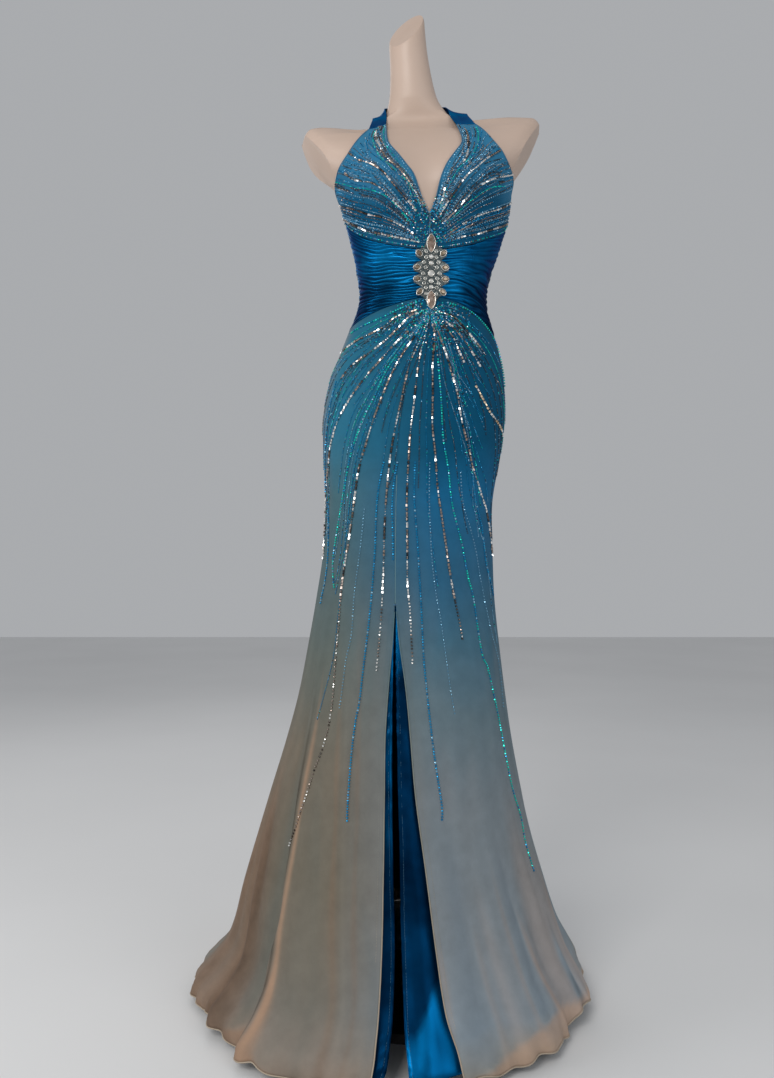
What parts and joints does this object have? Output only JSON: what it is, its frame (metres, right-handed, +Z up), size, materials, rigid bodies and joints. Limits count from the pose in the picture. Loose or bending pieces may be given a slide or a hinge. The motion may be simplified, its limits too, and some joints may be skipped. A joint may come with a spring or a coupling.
{
  "type": "mermaid prom dress on a dress form",
  "caption": "Floor-length mermaid dress with a beaded halter bodice, gathered midriff, crystal brooch and slit ombre skirt, on a limbless form with a pole and round base.",
  "frame": {"origin": "centre of the underside of the stand's round base, on the floor", "axes": "+Z up along the pole, -Y the front of the dress, +X to the right seen from the front"},
  "size_m": [0.6981, 0.7376, 1.7224],
  "materials": {
    "chiffon": "sheer chiffon overlay, blue at the top to taupe at the hem",
    "blue_satin": "satin",
    "form_skin": "matte",
    "silver": "polished",
    "crystal": "faceted and foil backed",
    "steel": "satin",
    "black_paint": "matte"
  },
  "bodies": {
    "root": {"brooch_plate": "silver", "cup_left": "chiffon", "cup_right": "chiffon", "form_torso": "form_skin", "halter_strap": "blue_satin", "lining_back": "blue_satin", "lining_front_left": "blue_satin", "lining_front_right": "blue_satin", "midriff_back": "blue_satin", "midriff_front": "blue_satin", "skirt_back_left": "chiffon", "skirt_back_right": "chiffon", "skirt_front_left": "chiffon", "skirt_front_right": "chiffon", "stand_base": "black_paint", "stand_pole": "steel", "stone_bottom": "crystal", "stone_round_1": "crystal", "stone_round_10": "crystal", "stone_round_11": "crystal", "stone_round_12": "crystal", "stone_round_13": "crystal", "stone_round_14": "crystal", "stone_round_15": "crystal", "stone_round_16": "crystal", "stone_round_17": "crystal", "stone_round_18": "crystal", "stone_round_19": "crystal", "stone_round_2": "crystal", "stone_round_20": "crystal", "stone_round_21": "crystal", "stone_round_22": "crystal", "stone_round_23": "crystal", "stone_round_3": "crystal", "stone_round_4": "crystal", "stone_round_5": "crystal", "stone_round_6": "crystal", "stone_round_7": "crystal", "stone_round_8": "crystal", "stone_round_9": "crystal", "stone_side_1": "crystal", "stone_side_2": "crystal", "stone_side_3": "crystal", "stone_side_4": "crystal", "stone_side_5": "crystal", "stone_side_6": "crystal", "stone_side_7": "crystal", "stone_side_8": "crystal", "stone_top": "crystal"}
  },
  "joints": []
}
